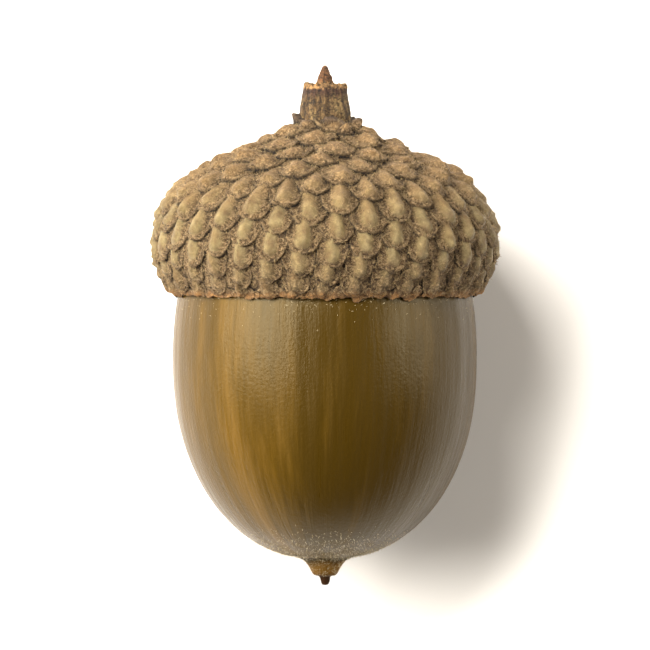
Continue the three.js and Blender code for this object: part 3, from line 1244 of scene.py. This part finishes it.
@dataclass(frozen=True)
class CupFinish:
    """Grey-brown felt over woody scales, worn to a smooth olive beige along each keel."""

    # Felted woody scale, as it grew: matt and speckled, with a faint sheen where the keels are bare
    name: str = "felted_scale"
    felt_dark: str = "#3b2914"
    felt: str = "#6f5634"
    felt_light: str = "#ab9069"
    keel_dark: str = "#5f4b2b"
    keel: str = "#6f603a"
    keel_light: str = "#86774f"
    knob: str = "#7b5d35"
    worn: str = "#a97a45"
    lip: str = "#9c835c"
    collar: str = "#45372f"
    # Painted shade: the dark colour given to each scale's wall below its lip
    crevice_shade: str = "#2a160b"
    # How far the ambient occlusion of the painted crevice shade reaches, in millimetres
    crevice_reach: float = 0.9
    # The felt's specks are drawn about 0.2 mm wide, coarser than the real hairs, so that they show
    specks_per_mm: float = 5.5
    speck_relief: float = 0.4

    def bareness(
        self,
        add: partial,
        keel: bpy.types.NodeSocket,
        height: bpy.types.NodeSocket,
        upper: bpy.types.NodeSocket,
    ) -> bpy.types.NodeSocket:
        """Works out how far the felt is worn off: on the keels, and less near the crown and the rim.

        Args:
            add: what adds nodes to the tree.
            keel: how high on a keel the point is.
            height: how far it is above the rim, in millimetres.
            upper: how far it is into the cup's upper half.

        Returns:
            The share of bare scale.
        """
        shown = add("ShaderNodeMapRange", [keel, 0.12, 0.5, 0.0, 0.85])
        bare = add("ShaderNodeMapRange", [upper, 0.0, 1.0, 1.0, 0.5])
        pressed = add("ShaderNodeMapRange", [height, 0.9, 3.0, 0.4, 1.0])
        for less in (bare, pressed):
            shown = add("ShaderNodeMath", [shown, less], operation="MULTIPLY")
        return shown

    def smooth(
        self, add: partial, point: bpy.types.NodeSocket, upper: bpy.types.NodeSocket
    ) -> bpy.types.NodeSocket:
        """Colours the bare keels: olive on the wall and brown near the crown.

        Args:
            add: what adds nodes to the tree.
            point: the surface point, in millimetres.
            upper: how far it is into the cup's upper half.

        Returns:
            The colour.
        """
        cloud = {"Vector": point, "Scale": 1.7, "Detail": 4.0, "Roughness": 0.6}
        stops = [(0.35, self.keel_dark), (0.5, self.keel), (0.68, self.keel_light)]
        olive = add("ShaderNodeValToRGB", [add("ShaderNodeTexNoise", cloud)], stops=stops)
        mixed = {0: upper, MIX_A: olive, MIX_B: linear(self.knob)}
        return add("ShaderNodeMix", mixed, MIX_COLOUR, data_type="RGBA")

    def build(self, place: AcornFrame) -> None:
        """Makes the material.

        Args:
            place: where the acorn's frame lies.
        """
        shader, add = start_material(self.name)
        point = place.coordinates(shader.id_data)
        height = add("ShaderNodeSeparateXYZ", [point], "Y")
        keel, tint, edge, length = (
            add("ShaderNodeAttribute", output="Fac", attribute_name=label)
            for label in ("keel", "tint", "edge", "length")
        )
        upper = add("ShaderNodeMapRange", [height, 5.5, 9.5])
        shown = self.bareness(add, keel, height, upper)
        grain, patchy, specks = (
            add("ShaderNodeTexNoise", {"Vector": point, "Scale": scale, "Detail": detail, **more})
            for scale, detail, more in (
                (3.4, 5.0, {"Roughness": 0.7, "Distortion": 1.6}),
                (2.2, 3.0, {}),
                (self.specks_per_mm, 5.0, {"Roughness": 0.75, "Distortion": 1.2}),
            )
        )
        ragged_edge = add("ShaderNodeMath", [grain, 0.5, edge], operation="MULTIPLY_ADD")
        ragged_height = add("ShaderNodeMath", [grain, 0.8, height], operation="MULTIPLY_ADD")
        most_lip = add("ShaderNodeMapRange", [patchy, 0.4, 0.62, 0.0, 0.6])
        most_worn = add("ShaderNodeMapRange", [patchy, 0.38, 0.6, 0.35, 0.95])
        # The second of these shares paints shade, in the crevice colour, on each scale's wall below its lip
        lip, under_lip_shade, reddish, above, collar, rim = (
            add("ShaderNodeMapRange", values)
            for values in (
                [ragged_edge, 0.95, 1.1, 0.0, most_lip],
                [ragged_edge, 1.2, 1.35, 0.0, 0.95],
                [tint, 0.3, 1.0, 0.0, 0.5],
                [length, 0.3, -0.05],
                [height, 11.35, 11.75, 0.0, 0.8],
                [ragged_height, 0.95, 0.6, 0.0, most_worn],
            )
        )
        for less in (keel, above):
            reddish = add("ShaderNodeMath", [reddish, less], operation="MULTIPLY")
        stops = [(0.4, self.felt_dark), (0.5, self.felt), (0.61, self.felt_light)]
        body = add("ShaderNodeValToRGB", [grain], stops=stops)
        for share, colour in (
            (shown, self.smooth(add, point, upper)),
            (lip, linear(self.lip)),
            (under_lip_shade, linear(self.crevice_shade)),
            (reddish, linear(self.knob)),
            (collar, linear(self.collar)),
            (rim, linear(self.worn)),
        ):
            mixed = {0: share, MIX_A: body, MIX_B: colour}
            body = add("ShaderNodeMix", mixed, MIX_COLOUR, data_type="RGBA")
        # Painted shade: ambient occlusion darkens the crevices and the skin between the scales beyond the
        # shade the lamps cast; the felt's specks darken and lighten it, and the upper half is made up to a
        # sixth lighter
        open_air = add("ShaderNodeAmbientOcclusion", {"Distance": self.crevice_reach * MM}, "AO", samples=6)
        shade = add("ShaderNodeMapRange", [open_air, 0.4, 0.95, 0.03, 1.06])
        speckled = add("ShaderNodeMapRange", [specks, 0.38, 0.62, 0.5, 1.45])
        speckled = add("ShaderNodeMix", {0: shown, 2: speckled, 3: 1.0}, data_type="FLOAT")
        paler = add("ShaderNodeMapRange", [upper, 0.0, 1.0, 1.0, 1.16])
        for factor in (speckled, paler):
            shade = add("ShaderNodeMath", [shade, factor], operation="MULTIPLY")
        shaded = {0: 1.0, MIX_A: body, MIX_B: shade}
        strength = add("ShaderNodeMapRange", [shown, 0.0, 1.0, 1.0, 0.45])
        bump = {"Height": specks, "Distance": self.speck_relief * MM, "Strength": strength}
        dressed = {
            "Base Color": add("ShaderNodeMix", shaded, MIX_COLOUR, data_type="RGBA", blend_type="MULTIPLY"),
            "Roughness": add("ShaderNodeMapRange", [shown, 0.0, 1.0, 0.85, 0.5]),
            "Normal": add("ShaderNodeBump", bump),
        }
        feed(shader, dressed)


@dataclass(frozen=True)
class StalkFinish:
    """Weathered stalk: tan fibres on dull olive brown, and a rusty thread of wood on top."""

    # Dry twig, torn off: matt fibres with dark specks between them
    name: str = "weathered_stalk"
    dark: str = "#35260f"
    middle: str = "#533e24"
    light: str = "#7d6842"
    # The band, the torn edge and the thread: colour, the heights it comes in between, and how far it covers
    zones: tuple[tuple[str, float, float, float], ...] = (
        ("#38211a", 13.3, 13.8, 0.75),
        ("#8a6a42", 14.0, 14.15, 0.9),
        ("#5c3a1f", 14.4, 14.6, 0.9),
    )
    fibre_relief: float = 0.15
    speck_relief: float = 0.2

    def build(self, place: AcornFrame) -> None:
        """Makes the material.

        Args:
            place: where the acorn's frame lies.
        """
        shader, add = start_material(self.name)
        point = place.coordinates(shader.id_data)
        vector = lengthwise(add, point, 5.0, 0.6)
        fibres = {"Vector": vector, "Scale": 1.0, "Detail": 5.0, "Roughness": 0.65}
        fibres = add("ShaderNodeTexNoise", fibres)
        specks = {"Vector": point, "Scale": 4.2, "Detail": 4.0, "Roughness": 0.75, "Distortion": 0.8}
        specks = add("ShaderNodeTexNoise", specks)
        stops = [(0.34, self.dark), (0.5, self.middle), (0.68, self.light)]
        body = add("ShaderNodeValToRGB", [fibres], stops=stops)
        height = add("ShaderNodeSeparateXYZ", [point], "Y")
        ragged = add("ShaderNodeMath", [specks, 0.7, height], operation="MULTIPLY_ADD")
        for colour, start, stop, most in self.zones:
            share = add("ShaderNodeMapRange", [ragged, start, stop, 0.0, most])
            mixed = {0: share, MIX_A: body, MIX_B: linear(colour)}
            body = add("ShaderNodeMix", mixed, MIX_COLOUR, data_type="RGBA")
        dotted = add("ShaderNodeMapRange", [specks, 0.4, 0.6, 0.2, 1.6])
        dotted = {0: 1.0, MIX_A: body, MIX_B: dotted}
        body = add("ShaderNodeMix", dotted, MIX_COLOUR, data_type="RGBA", blend_type="MULTIPLY")
        bump = {"Height": fibres, "Distance": self.fibre_relief * MM, "Strength": 1.0}
        bump = add("ShaderNodeBump", bump)
        bump = {"Height": specks, "Distance": self.speck_relief * MM, "Strength": 1.0, "Normal": bump}
        feed(shader, {"Base Color": body, "Roughness": 0.85, "Normal": add("ShaderNodeBump", bump)})


@dataclass(frozen=True)
class SoftBox:
    """A rectangular lamp, placed by where it stands round the acorn."""

    name: str
    azimuth: float
    elevation: float
    distance: float
    size: tuple[float, float]
    power: float
    colour: str = "#fff8ec"


@dataclass
class Studio:
    """A plain pale floor, soft lamps, and a long lens that looks straight down on the acorn's side."""

    floor_colour: str = "#ebebec"
    floor_size: float = 1.2
    picture_height: float = 42.9
    distance: float = 600.0
    sensor: float = 36.0
    middle_at: float = -1.91
    tilt: float = 1.5
    boxes: tuple[SoftBox, ...] = (
        SoftBox("key_box", -77.0, 40.0, 420.0, (300.0, 420.0), 5.8),
        SoftBox("fill_box", 84.0, 24.0, 420.0, (150.0, 320.0), 1.25),
        SoftBox("top_box", -34.0, 58.0, 480.0, (150.0, 150.0), 2.7),
    )
    world_colour: str = "#ffeed8"
    world_strength: float = 0.18

    def build(self, place: AcornFrame) -> None:
        """Makes the floor, the lamps and the camera.

        Args:
            place: where the acorn's frame lies.
        """
        shader, _ = start_material("pale_floor")
        feed(shader, {"Base Color": linear(self.floor_colour), "Roughness": 0.9})
        half = self.floor_size / 2
        corners = np.array([(-half, -half, 0), (half, -half, 0), (half, half, 0), (-half, half, 0)])
        floor = make_object("floor", mesh_of("floor", corners, [(0, 1, 2, 3)]), "pale_floor")
        world = bpy.data.worlds.new("studio")
        world.use_nodes = True
        feed(world.node_tree.nodes["Background"], [linear(self.world_colour), self.world_strength])
        bpy.context.scene.world = world
        target = place.matrix @ Vector((0, self.middle_at, 0))
        for box in self.boxes:
            self.add_lamp(box, target)
        self.add_camera(place, target)
        bpy.context.scene.view_settings.view_transform = "Standard"

    def add_lamp(self, box: SoftBox, target: Vector) -> None:
        """Makes one lamp that faces the target.

        Args:
            box: where it stands, and how large and strong it is.
            target: what it faces.
        """
        turn, rise = math.radians(box.azimuth), math.radians(box.elevation)
        way = Vector((math.sin(turn) * math.cos(rise), math.cos(turn) * math.cos(rise), math.sin(rise)))
        data = bpy.data.lights.new(box.name, "AREA")
        data.shape = "RECTANGLE"
        data.size, data.size_y = (size * MM for size in box.size)
        data.energy = box.power
        data.color = linear(box.colour)[:3]
        lamp = bpy.data.objects.new(box.name, data)
        bpy.context.scene.collection.objects.link(lamp)
        lamp.location = target + way * box.distance * MM
        lamp.rotation_euler = (-way).to_track_quat("-Z", "Y").to_euler()

    def add_camera(self, place: AcornFrame, target: Vector) -> None:
        """Makes the camera, square to the acorn's axis but for a small tilt.

        Args:
            place: where the acorn's frame lies.
            target: what is in the middle of the picture.
        """
        tilt = math.radians(self.tilt)
        turn = place.matrix.to_3x3().normalized()
        back = turn @ Vector((0, math.sin(tilt), math.cos(tilt)))
        up = turn @ Vector((0, math.cos(tilt), -math.sin(tilt)))
        data = bpy.data.cameras.new("camera")
        data.sensor_width = self.sensor
        data.lens = self.sensor * self.distance / self.picture_height
        data.clip_start, data.clip_end = 0.01, 10.0
        camera = bpy.data.objects.new("camera", data)
        bpy.context.scene.collection.objects.link(camera)
        axes = Matrix((up.cross(back), up, back)).transposed()
        camera.matrix_world = Matrix.Translation(target + back * self.distance * MM) @ axes.to_4x4()
        bpy.context.scene.camera = camera


def main() -> None:
    """Builds the acorn's pieces, dresses them, and sets up the studio."""
    logging.basicConfig(level=logging.INFO, format="%(name)s: %(message)s")
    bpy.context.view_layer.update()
    place = AcornFrame.from_solids()
    for finish in (NutFinish(), NUT_DOWN, CupFinish(), CUP_FELT, StalkFinish()):
        finish.build(place)
    nut, cup, stalk = Nut(), Cup(), Stalk()
    made = {
        Piece.NUT: nut.build(place),
        Piece.CUP: cup.build(place, nut),
        Piece.STALK: stalk.build(place),
    }
    for piece, objects in made.items():
        for made_object in objects:
            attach(made_object, "root")
            made_object.data.calc_loop_triangles()
            LOG.info("%s: %d triangles", made_object.name, len(made_object.data.loop_triangles))
        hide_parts(piece.value)
    Studio().build(place)


if __name__ == "__main__":
    main()
